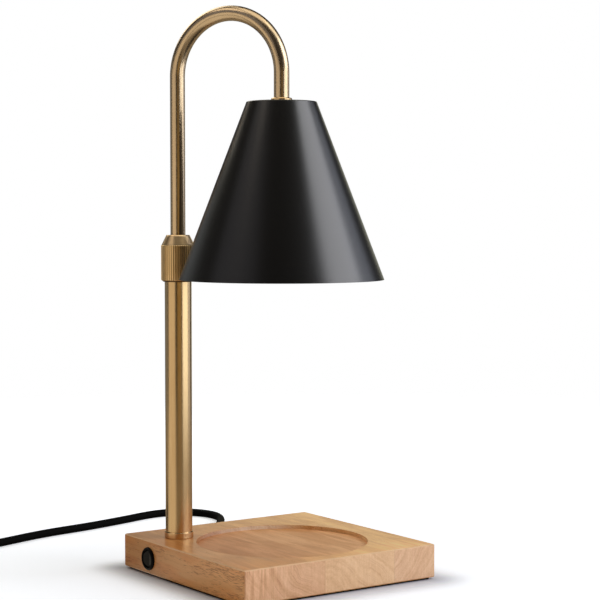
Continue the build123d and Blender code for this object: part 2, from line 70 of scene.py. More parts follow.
# ------------------------------------------------------------------ node helpers
class Net:
    """A material's node tree with one Principled shader."""

    def __init__(self, name):
        self.m = bpy.data.materials.new(name)
        self.m.use_nodes = True
        self.t = self.m.node_tree
        self.t.nodes.clear()
        self.out = self.t.nodes.new("ShaderNodeOutputMaterial")
        self.b = self.t.nodes.new("ShaderNodeBsdfPrincipled")
        self.t.links.new(self.b.outputs[0], self.out.inputs[0])
        self.coord = self.t.nodes.new("ShaderNodeTexCoord")
        self.p = self.vmath("SCALE", self.coord.outputs["Object"], scale=1000.0)  # millimetres
        self.xyz = None

    def n(self, kind):
        return self.t.nodes.new(kind)

    def put(self, value, socket):
        if isinstance(value, bpy.types.NodeSocket):
            self.t.links.new(value, socket)
        elif value is not None:
            if isinstance(value, (tuple, list)) and len(value) == 3 and socket.type == "RGBA":
                value = (*value, 1.0)
            socket.default_value = value

    def set(self, **kw):
        for k, v in kw.items():
            self.put(v, self.b.inputs[k.replace("_", " ")])
        return self

    def math(self, op, a, b=None, c=None, clamp=False):
        n = self.n("ShaderNodeMath")
        n.operation, n.use_clamp = op, clamp
        self.put(a, n.inputs[0]); self.put(b, n.inputs[1]); self.put(c, n.inputs[2])
        return n.outputs[0]

    def vmath(self, op, a, b=None, scale=None):
        n = self.n("ShaderNodeVectorMath")
        n.operation = op
        self.put(a, n.inputs[0]); self.put(b, n.inputs[1])
        if scale is not None:
            self.put(scale, n.inputs["Scale"])
        return n.outputs["Value"] if op in ("LENGTH", "DOT_PRODUCT", "DISTANCE") else n.outputs["Vector"]

    def split(self, v=None):
        n = self.n("ShaderNodeSeparateXYZ")
        self.put(v if v is not None else self.p, n.inputs[0])
        return n.outputs[0], n.outputs[1], n.outputs[2]

    def join(self, x, y, z):
        n = self.n("ShaderNodeCombineXYZ")
        for v, s in zip((x, y, z), n.inputs):
            self.put(v, s)
        return n.outputs[0]

    def noise(self, v, scale=1.0, detail=2.0, rough=0.5, dist=0.0):
        n = self.n("ShaderNodeTexNoise")
        n.noise_dimensions = "3D"
        self.put(v, n.inputs["Vector"])
        n.inputs["Scale"].default_value = scale
        n.inputs["Detail"].default_value = detail
        n.inputs["Roughness"].default_value = rough
        n.inputs["Distortion"].default_value = dist
        return n.outputs["Fac"] if "Fac" in n.outputs else n.outputs[0]

    def noise1(self, w, scale=1.0, detail=2.0, rough=0.5):
        n = self.n("ShaderNodeTexNoise")
        n.noise_dimensions = "1D"
        self.put(w, n.inputs["W"])
        n.inputs["Scale"].default_value = scale
        n.inputs["Detail"].default_value = detail
        n.inputs["Roughness"].default_value = rough
        return n.outputs["Fac"] if "Fac" in n.outputs else n.outputs[0]

    def stretch(self, sx, sy, sz, v=None):
        return self.vmath("MULTIPLY", v if v is not None else self.p, (sx, sy, sz))

    def ramp(self, fac, *stops, smooth=False):
        n = self.n("ShaderNodeValToRGB")
        r = n.color_ramp
        r.interpolation = "EASE" if smooth else "LINEAR"
        while len(r.elements) < len(stops):
            r.elements.new(0.5)
        for e, (pos, col) in zip(r.elements, stops):
            e.position = pos
            e.color = (*col, 1.0) if isinstance(col, (tuple, list)) else (col, col, col, 1.0)
        self.put(fac, n.inputs[0])
        return n.outputs[0]

    def range(self, v, a, b, c=0.0, d=1.0, kind="SMOOTHSTEP"):
        n = self.n("ShaderNodeMapRange")
        n.interpolation_type = kind
        self.put(v, n.inputs["Value"])
        for k, x in (("From Min", a), ("From Max", b), ("To Min", c), ("To Max", d)):
            self.put(x, n.inputs[k])
        return n.outputs["Result"]

    def mix(self, fac, a, b, kind="MIX"):
        n = self.n("ShaderNodeMix")
        n.data_type, n.blend_type = "RGBA", kind
        self.put(fac, n.inputs["Factor"])
        ins = [s for s in n.inputs if s.type == "RGBA"]
        self.put(a, ins[0]); self.put(b, ins[1])
        return [s for s in n.outputs if s.type == "RGBA"][0]

    def bump(self, height, strength=0.3, distance=0.0002, normal=None):
        n = self.n("ShaderNodeBump")
        n.inputs["Strength"].default_value = strength
        n.inputs["Distance"].default_value = distance
        self.put(height, n.inputs["Height"])
        if normal is not None:
            self.put(normal, n.inputs["Normal"])
        return n.outputs[0]


# ------------------------------------------------------------------ materials
def wood():
    k = Net("oiled_hardwood")
    x, y, z = k.split()
    nx, ny, nz = k.split(k.coord.outputs["Normal"])
    # three edge-glued boards, their joints at x = -14 and x = 41
    in_b = k.math("GREATER_THAN", x, -14.0)
    in_c = k.math("GREATER_THAN", x, 41.0)
    which = k.math("ADD", in_b, in_c)
    # each board's heart lies elsewhere, so its rings slant its own way on the end faces and run straight along Y
    cx = k.math("ADD", k.math("MULTIPLY", in_b, -88.0), k.math("MULTIPLY_ADD", in_c, 76.0, 12.0))
    cz = k.math("ADD", k.math("MULTIPLY", in_b, -150.0), k.math("MULTIPLY_ADD", in_c, 138.0, 52.0))
    slow = k.vmath("ADD", k.stretch(0.016, 0.0045, 0.016), k.join(k.math("MULTIPLY", which, 7.3), 0.0, 0.0))
    wob = k.math("SUBTRACT", k.noise(slow, 1.0, 2.0, 0.5), 0.5)
    dx = k.math("SUBTRACT", x, cx)
    dz = k.math("SUBTRACT", z, cz)
    d = k.math("SQRT", k.math("ADD", k.math("MULTIPLY", dx, dx), k.math("MULTIPLY", dz, dz)))
    d = k.math("MULTIPLY_ADD", wob, 30.0, d)
    waver = k.math("SUBTRACT", k.noise(k.stretch(0.13, 0.010, 0.09), 1.0, 1.5, 0.5), 0.5)
    d = k.math("MULTIPLY_ADD", waver, 5.0, d)
    d = k.math("MULTIPLY_ADD", which, 61.7, d)
    rings = k.noise1(d, 0.21, 3.0, 0.62)
    fibre = k.noise(k.stretch(0.9, 0.030, 0.9), 1.0, 3.0, 0.62)
    hair = k.noise(k.stretch(4.2, 0.13, 4.2), 1.0, 2.0, 0.6)
    cloud = k.noise(k.stretch(0.035, 0.014, 0.05), 1.0, 3.0, 0.55)
    end = k.range(k.math("ABSOLUTE", ny), 0.6, 0.95)
    side = k.range(k.math("ABSOLUTE", nx), 0.6, 0.95)
    tone = k.math("MULTIPLY_ADD", rings, 0.34, k.math("MULTIPLY", fibre, 0.30))
    tone = k.math("MULTIPLY_ADD", cloud, 0.36, tone)
    base = k.ramp(tone, (0.34, (0.520, 0.300, 0.158)), (0.46, (0.600, 0.372, 0.210)), (0.56, (0.650, 0.425, 0.252)), (0.68, (0.700, 0.480, 0.300)))
    # slanting reddish strokes on the end faces, where the rings are cut across
    stroke = k.noise1(d, 0.62, 2.5, 0.7)
    patch = k.noise(k.stretch(0.075, 0.0, 0.045), 1.0, 1.5, 0.5)
    stroke = k.math("MULTIPLY", k.range(stroke, 0.50, 0.72), k.range(patch, 0.44, 0.62))
    quiet = k.math("MULTIPLY_ADD", k.math("SUBTRACT", in_b, in_c), -0.26, 0.60)
    base = k.mix(k.math("MULTIPLY", k.math("MULTIPLY", stroke, end), quiet), base, (0.440, 0.205, 0.105))
    # upright hairlines left by the saw, strongest near the first board's outer edge
    saw = k.noise(k.stretch(0.86, 0.0, 0.035), 1.0, 1.0, 0.5)
    near = k.range(k.math("MULTIPLY_ADD", z, -0.6, x), -82.0, -40.0, 1.0, 0.16)
    saw_tint = k.mix(k.range(saw, 0.40, 0.60), (0.86, 0.74, 0.65), (1.08, 1.07, 1.07))
    base = k.mix(k.math("MULTIPLY", end, near), base, k.mix(1.0, base, saw_tint, "MULTIPLY"))
    # painted light: the end faces are painted paler and the other faces a deeper orange, partly the end grain's own
    # paler tone
    base = k.mix(end, k.mix(1.0, base, (1.18, 0.84, 0.465), "MULTIPLY"), k.mix(1.0, base, (1.340, 1.300, 1.285), "MULTIPLY"))
    base = k.mix(k.math("MULTIPLY", hair, 0.30), base, k.mix(1.0, base, (0.82, 0.76, 0.70), "MULTIPLY"))
    blotch = k.noise(k.stretch(0.05, 0.022, 0.11), 1.0, 2.0, 0.6)
    base = k.mix(k.math("MULTIPLY", side, k.range(blotch, 0.46, 0.66, 0.0, 0.75)), base, k.mix(1.0, base, (1.02, 0.86, 0.70), "MULTIPLY"))
    # painted light: the side faces are painted paler towards the front corner and darker towards the back
    along = k.mix(k.range(y, -75.0, 60.0, 1.0, 0.0, "LINEAR"), (0.80, 0.79, 0.78), (1.21, 1.37, 1.62))
    base = k.mix(side, base, k.mix(1.0, base, along, "MULTIPLY"))
    up = k.range(nz, 0.6, 0.95)
    # painted light: the top is painted darker and warmer towards -X and paler towards +X
    top_light_tint = k.mix(k.range(k.math("MULTIPLY_ADD", y, -0.12, x), -72.0, 66.0, 0.0, 1.0, "LINEAR"), (0.92, 0.89, 0.84), (1.34, 1.74, 2.10))
    base = k.mix(up, base, k.mix(1.0, base, top_light_tint, "MULTIPLY"))
    # painted light: the top is painted paler along its front edge
    front_light_tint = k.mix(k.range(x, -72.0, 50.0, 0.0, 1.0, "LINEAR"), (1.12, 1.05, 0.86), (1.14, 1.14, 1.17))
    base = k.mix(k.math("MULTIPLY", up, k.range(y, -36.0, -70.0)), base, k.mix(1.0, base, front_light_tint, "MULTIPLY"))
    # broad soft figure on the planed top, drawn out along the grain
    figure = k.noise(k.vmath("ADD", k.stretch(0.085, 0.020, 0.05), k.join(k.math("MULTIPLY", which, 3.1), 0.0, 0.0)), 1.0, 2.5, 0.55, 0.6)
    figure = k.mix(k.range(figure, 0.36, 0.62), (0.86, 0.77, 0.66), (1.05, 1.07, 1.10))
    base = k.mix(up, base, k.mix(1.0, base, figure, "MULTIPLY"))
    # short dark pores, drawn out along the grain; many on the side faces, few on the planed top
    wavy = k.vmath("ADD", k.p, k.join(0.0, 0.0, k.math("MULTIPLY", k.noise(k.stretch(0.05, 0.07, 0.05), 1.0, 1.0, 0.5), 5.0)))
    pores = k.noise(k.stretch(1.7, 0.165, 1.8, wavy), 1.0, 2.2, 0.62)
    gather = k.noise(k.stretch(0.06, 0.025, 0.14), 1.0, 1.0, 0.5)
    pores = k.range(k.math("MULTIPLY_ADD", gather, 0.42, pores), 0.74, 0.92)
    many = k.math("MULTIPLY_ADD", side, 0.74, 0.22)
    pores = k.math("MULTIPLY", pores, k.math("MULTIPLY", many, k.math("MULTIPLY_ADD", end, -0.9, 1.0)))
    base = k.mix(k.math("MULTIPLY", pores, 0.72), base, (0.330, 0.110, 0.036))
    # boards differ a little; thin glue lines
    tint = k.mix(in_b, (0.985, 0.935, 0.92), (1.04, 1.065, 1.045))
    tint = k.mix(in_c, tint, (1.010, 1.010, 1.050))
    base = k.mix(k.math("MULTIPLY_ADD", end, 0.6, 0.4), base, k.mix(1.0, base, tint, "MULTIPLY"))
    j1 = k.math("LESS_THAN", k.math("ABSOLUTE", k.math("SUBTRACT", x, 41.0)), 0.22)
    j2 = k.math("LESS_THAN", k.math("ABSOLUTE", k.math("ADD", x, 14.0)), 0.15)
    base = k.mix(k.math("MULTIPLY", k.math("MAXIMUM", j1, j2), 0.10), base, (0.30, 0.15, 0.07))
    # the turned seat has not been planed: pinker, with faint rings from the cutter; this seat tint is partly that own
    # tone and partly painted light
    sx = k.math("SUBTRACT", x, SEAT[0]); sy = k.math("SUBTRACT", y, SEAT[1])
    sr = k.math("SQRT", k.math("ADD", k.math("MULTIPLY", sx, sx), k.math("MULTIPLY", sy, sy)))
    seat = k.math("MULTIPLY", k.math("LESS_THAN", sr, SEAT[2] + 0.3), k.math("GREATER_THAN", z, 19.5))
    seat = k.math("MULTIPLY", seat, k.math("LESS_THAN", z, ZT - 0.15))
    turned = k.noise1(sr, 1.1, 2.0, 0.6)
    seat_tone_and_light = k.mix(turned, (0.91, 0.87, 1.10), (1.01, 0.99, 1.24))
    # painted shade and light: the seat's wall is painted darker at the left and paler at the right
    wall = k.range(k.math("ABSOLUTE", nz), 0.2, 0.7, 1.0, 0.0)
    seat_tone_and_light = k.mix(wall, seat_tone_and_light, k.mix(k.range(x, -50.0, 50.0), (0.66, 0.68, 0.78), (1.15, 1.60, 2.30)))
    base = k.mix(seat, base, k.mix(1.0, base, seat_tone_and_light, "MULTIPLY"))
    # painted highlight: the eased edges are painted paler
    edge_highlight = k.math("MULTIPLY", k.range(nz, 0.25, 0.5), k.range(nz, 0.8, 0.95, 1.0, 0.0))
    edge_highlight = k.math("MULTIPLY", edge_highlight, k.math("GREATER_THAN", z, ZT - 0.8))
    base = k.mix(k.math("MULTIPLY", edge_highlight, 0.6), base, (0.84, 0.60, 0.37))
    rough = k.math("ADD", k.math("MULTIPLY_ADD", pores, 0.25, 0.235), k.math("MULTIPLY", fibre, 0.12))
    rough = k.math("MULTIPLY_ADD", seat, 0.10, rough)
    rough = k.math("MULTIPLY_ADD", end, 0.16, rough)
    height = k.math("SUBTRACT", k.math("MULTIPLY", hair, 0.35), pores)
    k.set(Base_Color=base, Roughness=rough, Normal=k.bump(height, 0.16, 0.00010), Specular_IOR_Level=0.5)
    return k.m


def brass(name, pale, deep, rough=0.20, bump=0.05, grooves=None):
    """Satin lacquered brass with a slow patina and fine upright polishing lines, and darker down in a knurl's grooves."""
    k = Net(name)
    patina = k.noise(k.stretch(0.07, 0.07, 0.022), 1.0, 3.0, 0.55)
    lines = k.noise(k.stretch(0.9, 0.9, 0.03), 1.0, 2.0, 0.6)
    specks = k.noise(k.stretch(0.35, 0.35, 0.2), 1.0, 3.0, 0.65)
    tone = k.math("ADD", k.math("MULTIPLY", patina, 0.62), k.math("MULTIPLY", lines, 0.38))
    col = k.ramp(tone, (0.36, deep), (0.64, pale))
    col = k.mix(k.range(specks, 0.55, 0.80, 0.0, 0.35), col, k.mix(1.0, col, (0.86, 0.79, 0.70), "MULTIPLY"))
    r = k.math("ADD", k.math("MULTIPLY", lines, 0.03), k.math("MULTIPLY_ADD", patina, 0.06, rough))
    if grooves:
        x, y, z = k.split()
        px, py = k.math("SUBTRACT", x, POLE[0]), k.math("SUBTRACT", y, POLE[1])
        away = k.math("SQRT", k.math("ADD", k.math("MULTIPLY", px, px), k.math("MULTIPLY", py, py)))
        deepness = k.math("MULTIPLY", k.range(away, grooves[0], grooves[1], 1.0, 0.0), k.math("LESS_THAN", z, grooves[2]))
        col = k.mix(k.math("MULTIPLY", deepness, 0.96), col, (0.100, 0.056, 0.026))
        r = k.math("MULTIPLY_ADD", deepness, 0.18, r)
        # the plain turned cone above the knurl is smoother, and painted paler: painted light
        cone = k.math("GREATER_THAN", z, grooves[2])
        col = k.mix(cone, col, k.mix(1.0, col, (1.06, 1.06, 1.12), "MULTIPLY"))
        r = k.math("MULTIPLY_ADD", cone, -0.05, r)
    k.set(Base_Color=col, Metallic=1.0, Roughness=r, Normal=k.bump(lines, bump, 0.00003))
    return k.m


def brass_on_arm():
    """The same satin brass for the bent arm: its lines follow the tube through its own UV map (u round it, v along it in metres)."""
    k = Net("brass_arm")
    uv = k.n("ShaderNodeUVMap")
    uv.uv_map = "along"
    lines = k.noise(k.vmath("MULTIPLY", uv.outputs[0], (22.0, 24.0, 1.0)), 1.0, 2.0, 0.6)
    patina = k.noise(k.stretch(0.07, 0.07, 0.03), 1.0, 3.0, 0.55)
    specks = k.noise(k.stretch(0.35, 0.35, 0.2), 1.0, 3.0, 0.65)
    tone = k.math("ADD", k.math("MULTIPLY", patina, 0.62), k.math("MULTIPLY", lines, 0.38))
    col = k.ramp(tone, (0.36, (0.610, 0.455, 0.290)), (0.64, (0.700, 0.540, 0.360)))
    col = k.mix(k.range(specks, 0.55, 0.80, 0.0, 0.30), col, k.mix(1.0, col, (0.88, 0.81, 0.72), "MULTIPLY"))
    r = k.math("ADD", k.math("MULTIPLY", lines, 0.03), k.math("MULTIPLY_ADD", patina, 0.06, 0.215))
    k.set(Base_Color=col, Metallic=1.0, Roughness=r)
    return k.m


def shade_paint():
    """Satin black outside, warm white enamel inside, told apart by which way the wall faces."""
    k = Net("shade_paint")
    x, y, z = k.split()
    nx, ny, nz = k.split(k.coord.outputs["Normal"])
    rx, ry = k.math("SUBTRACT", x, LAMP[0]), k.math("SUBTRACT", y, LAMP[1])
    r = k.math("SQRT", k.math("ADD", k.math("MULTIPLY", rx, rx), k.math("MULTIPLY", ry, ry)))
    inward = k.math("DIVIDE", k.math("ADD", k.math("MULTIPLY", rx, nx), k.math("MULTIPLY", ry, ny)), r)
    under = k.math("MULTIPLY", k.math("LESS_THAN", nz, -0.9), k.math("GREATER_THAN", z, SHADE_Z1 - 3.0))
    inside = k.math("MAXIMUM", k.math("LESS_THAN", inward, -0.5), under)
    orange = k.noise(k.stretch(1.1, 1.1, 1.1), 1.0, 2.0, 0.5)
    grain = k.noise(k.stretch(3.2, 3.2, 3.2), 1.0, 2.0, 0.6)
    cloud = k.noise(k.stretch(0.03, 0.03, 0.03), 1.0, 2.0, 0.5)
    black = k.mix(cloud, (0.0016, 0.0016, 0.0018), (0.0026, 0.0026, 0.0029))
    white = k.mix(cloud, (0.80, 0.79, 0.76), (0.86, 0.85, 0.82))
    col = k.mix(inside, black, white)
    rough = k.math("MULTIPLY_ADD", grain, 0.08, 0.25)
    rough = k.math("MULTIPLY_ADD", inside, 0.08, rough)
    k.set(Base_Color=col, Roughness=rough, Normal=k.bump(k.math("ADD", grain, orange), 0.10, 0.00004), Specular_IOR_Level=1.0)
    return k.m


def plastic(name, dark, light, rough, grain_scale=3.0, bump=0.12, spec=0.5, spread=0.08, coat=0.0):
    k = Net(name)
    cloud = k.noise(k.stretch(0.12, 0.12, 0.12), 1.0, 3.0, 0.6)
    grain = k.noise(k.stretch(grain_scale, grain_scale, grain_scale), 1.0, 2.0, 0.6)
    col = k.mix(cloud, dark, light)
    r = k.math("MULTIPLY_ADD", grain, spread, rough)
    k.set(Base_Color=col, Roughness=r, Normal=k.bump(grain, bump, 0.00005), Specular_IOR_Level=spec)
    if coat:
        k.set(Coat_Weight=coat, Coat_Roughness=0.12)
    return k.m


def metal(name, a, b, rough, stretch=(0.6, 0.6, 6.0), bump=0.08):
    k = Net(name)
    lines = k.noise(k.stretch(*stretch), 1.0, 3.0, 0.6)
    cloud = k.noise(k.stretch(0.3, 0.3, 0.3), 1.0, 2.0, 0.5)
    col = k.mix(cloud, a, b)
    k.set(Base_Color=col, Metallic=1.0, Roughness=k.math("MULTIPLY_ADD", lines, 0.14, rough), Normal=k.bump(lines, bump, 0.00004))
    return k.m


def glowing_lens():
    """Fluted reflector-lamp glass, lit from behind: brightest at the middle."""
    k = Net("bulb_lens_lit")
    x, y, z = k.split()
    rx, ry = k.math("SUBTRACT", x, LAMP[0]), k.math("SUBTRACT", y, LAMP[1])
    r = k.math("SQRT", k.math("ADD", k.math("MULTIPLY", rx, rx), k.math("MULTIPLY", ry, ry)))
    heart = k.range(r, 2.0, 24.0, 1.0, 0.0)
    cells = k.n("ShaderNodeTexVoronoi")
    k.put(k.stretch(0.45, 0.45, 0.45), cells.inputs["Vector"])
    cell = cells.outputs["Distance"]
    glow = k.math("MULTIPLY", k.math("POWER", heart, 1.6), k.math("MULTIPLY_ADD", cell, 0.7, 0.75))
    emit = k.ramp(glow, (0.0, (0.30, 0.13, 0.045)), (0.35, (0.85, 0.48, 0.20)), (1.0, (1.0, 0.80, 0.52)))
    k.set(Base_Color=k.mix(heart, (0.62, 0.60, 0.56), (0.85, 0.80, 0.72)), Roughness=k.math("MULTIPLY_ADD", cell, 0.10, 0.12),
          Emission_Color=emit, Emission_Strength=LENS_GLOW, Normal=k.bump(cell, 0.5, 0.0006), Coat_Weight=0.5, Coat_Roughness=0.08)
    return k.m


def mirror_glass():
    k = Net("bulb_mirror")
    a = k.noise(k.stretch(0.12, 0.12, 0.12), 1.0, 2.0, 0.5)
    facet = k.n("ShaderNodeTexVoronoi")
    k.put(k.stretch(0.30, 0.30, 0.30), facet.inputs["Vector"])
    k.set(Base_Color=k.mix(a, (0.80, 0.79, 0.77), (0.90, 0.89, 0.88)), Metallic=1.0, Roughness=k.math("MULTIPLY_ADD", a, 0.08, 0.07),
          Normal=k.bump(facet.outputs["Distance"], 0.25, 0.0004))
    return k.m


def woven(name, a, b):
    k = Net(name)
    x, y, z = k.split()
    wave = lambda v, f: k.math("SINE", k.math("MULTIPLY", v, f))
    along = k.math("ADD", x, y)
    h = k.math("MULTIPLY", wave(along, 5.2), wave(k.math("ADD", z, k.math("SUBTRACT", x, y)), 5.2))
    fuzz = k.noise(k.stretch(2.0, 2.0, 2.0), 1.0, 3.0, 0.7)
    col = k.mix(k.math("MULTIPLY_ADD", h, 0.35, fuzz, clamp=True), a, b)
    k.set(Base_Color=col, Roughness=k.math("MULTIPLY_ADD", fuzz, 0.15, 0.78), Normal=k.bump(k.math("ADD", h, fuzz), 0.5, 0.00025), Sheen_Weight=0.35, Sheen_Roughness=0.5)
    return k.m


LENS_GLOW = 5.0
M = {
    "wood": wood(),
    "foam_pad": plastic("foam_pad", (0.012, 0.012, 0.012), (0.022, 0.022, 0.022), 0.86, 1.4, 0.5, 0.2),
    "cover_plastic": plastic("cover_plastic", (0.022, 0.022, 0.022), (0.034, 0.034, 0.034), 0.52, 2.4, 0.3),
    "screw_steel": metal("screw_steel", (0.42, 0.42, 0.41), (0.58, 0.58, 0.56), 0.26),
    "zinc_steel": metal("zinc_steel", (0.52, 0.53, 0.50), (0.66, 0.66, 0.62), 0.30),
    "brass": brass("brass_tube", (0.700, 0.500, 0.280), (0.610, 0.420, 0.222)),
    # painted light: the knurled collar's brass is a paler copy of the tube's brass
    "brass_knurled": brass("brass_knurled", (0.880, 0.650, 0.360), (0.790, 0.560, 0.295), 0.34, grooves=(10.86, 11.06, 220.2)),
    "brass_arm": brass_on_arm(),
    "nylon": plastic("nylon", (0.62, 0.61, 0.55), (0.72, 0.71, 0.66), 0.45, 1.2, 0.1),
    "cable_sheath": plastic("cable_sheath", (0.66, 0.65, 0.61), (0.76, 0.75, 0.72), 0.48, 1.0, 0.08),
    "shade_paint": shade_paint(),
    "holder_ceramic": plastic("holder_ceramic", (0.66, 0.63, 0.55), (0.76, 0.73, 0.66), 0.62, 1.6, 0.4, 0.4),
    "bulb_ceramic": plastic("bulb_ceramic", (0.74, 0.73, 0.69), (0.82, 0.81, 0.78), 0.28, 0.8, 0.1, 0.5),
    "bulb_mirror": mirror_glass(),
    "bulb_lens": glowing_lens(),
    "switch_black": plastic("switch_black", (0.0020, 0.0020, 0.0022), (0.0036, 0.0036, 0.0038), 0.40, 4.0, 0.20, 0.07),
    "switch_black_gloss": plastic("switch_black_gloss", (0.0020, 0.0020, 0.0023), (0.0034, 0.0034, 0.0038), 0.16, 2.0, 0.06, 0.17, 0.05),
    "terminal_plastic": plastic("terminal_plastic", (0.66, 0.66, 0.63), (0.76, 0.76, 0.73), 0.42, 1.0, 0.1),
    "cord_black": plastic("cord_black", (0.0016, 0.0016, 0.0018), (0.0030, 0.0030, 0.0033), 0.58, 1.6, 0.10, 0.05, 0.10),
    "plug_black": plastic("plug_black", (0.0060, 0.0060, 0.0063), (0.0105, 0.0105, 0.0110), 0.44, 3.4, 0.30, 0.22),
    "pin_metal": metal("pin_metal", (0.66, 0.65, 0.62), (0.78, 0.77, 0.74), 0.14, (0.8, 4.0, 0.8), 0.05),
    "tie_fabric": woven("tie_fabric", (0.010, 0.010, 0.011), (0.045, 0.045, 0.048)),
}


def capsule_lit():
    k = Net("bulb_capsule_lit")
    x, y, z = k.split()
    hot = k.range(z, 238.0, 252.0, 1.0, 0.15)
    a = k.noise(k.stretch(0.3, 0.3, 0.3), 1.0, 2.0, 0.5)
    k.set(Base_Color=k.mix(a, (0.80, 0.78, 0.72), (0.9, 0.88, 0.84)), Roughness=k.math("MULTIPLY_ADD", a, 0.1, 0.08),
          Emission_Color=k.mix(hot, (0.9, 0.45, 0.16), (1.0, 0.78, 0.48)), Emission_Strength=6.0)
    return k.m


M["bulb_capsule"] = capsule_lit()
SLOT = {s["node"]: s["material_slot"] for s in frame["record"]["subparts"]}
for name, o in nodes.items():
    m = M.get(name) or M.get(SLOT[name])
    o.data.materials.clear()
    o.data.materials.append(m)


# ------------------------------------------------------------------ cords
def nurbs(name, points, radius, material):
    c = bpy.data.curves.new(name, "CURVE")
    c.dimensions = "3D"
    s = c.splines.new("NURBS")
    s.points.add(len(points) - 1)
    for q, p in zip(s.points, points):
        q.co = (p[0] * MM, p[1] * MM, p[2] * MM, 1.0)
    s.order_u = 3
    s.use_endpoint_u = True
    s.resolution_u = 10
    c.bevel_depth = radius * MM
    c.bevel_resolution = 7
    c.use_fill_caps = True
    c.materials.append(material)
    o = bpy.data.objects.new(name, c)
    scene.collection.objects.link(o)
    return o


ROUTE = [
    (33.0, 108.0, 11.5), (33.8, 121.5, 9.4), (38.5, 137.0, 5.2), (48.5, 152.0, 3.1),
    (60.5, 167.5, 3.0), (70.5, 182.5, 3.0), (74.0, 198.0, 3.0), (70.3, 212.8, 3.0),
    (60.0, 224.2, 3.0), (45.5, 229.4, 3.0), (28.6, 227.6, 3.0), (4.0, 219.5, 3.0),
    (-33.0, 210.0, 3.0), (-72.0, 204.0, 3.0), (-112.0, 190.0, 3.0), (-135.0, 182.6, 3.05),
]
TAIL = [
    (-173.5, 178.4, 9.2), (-189.5, 181.8, 7.0), (-203.5, 191.5, 3.6), (-212.5, 206.0, 3.05), (-217.3, 222.0, 4.4), (-218.5, 238.0, 7.0),
]
COIL = (-156.8, 218.9)
# the coil: (turns, radius of the strand, its height); three turns on the floor, two and a bit on top of them
STEPS = [(0.0, 39.2, 3.05), (0.66, 39.2, 3.05), (0.90, 33.0, 3.05), (1.66, 33.0, 3.05), (1.90, 26.8, 3.05), (2.36, 26.8, 3.05),
         (2.62, 26.8, 9.2), (3.12, 26.8, 9.2), (3.36, 33.0, 9.2), (4.12, 33.0, 9.2), (4.36, 39.1, 9.2), (5.033, 39.1, 9.2)]


def coil_points(per_turn=18, turns=5.033, start=280.0):
    n = int(round(turns * per_turn))
    grow = 1 / math.cos(math.pi / per_turn)
    pts = []
    for i in range(n + 1):
        t = turns * i / n
        for a, b in zip(STEPS, STEPS[1:]):
            if t <= b[0] + 1e-9:
                s = min(1.0, max(0.0, (t - a[0]) / (b[0] - a[0])))
                s = s * s * (3 - 2 * s)
                r, z = a[1] + (b[1] - a[1]) * s, a[2] + (b[2] - a[2]) * s
                break
        g = math.radians(start - 360 * t)
        pts.append((COIL[0] + r * grow * math.cos(g), COIL[1] + r * grow * math.sin(g), z))
    return pts


cord = nurbs("cord", ROUTE + coil_points() + TAIL, 3.0, M["cord_black"])
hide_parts("power_cord", "cord_coil", "cord_tail")
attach(cord, "base")


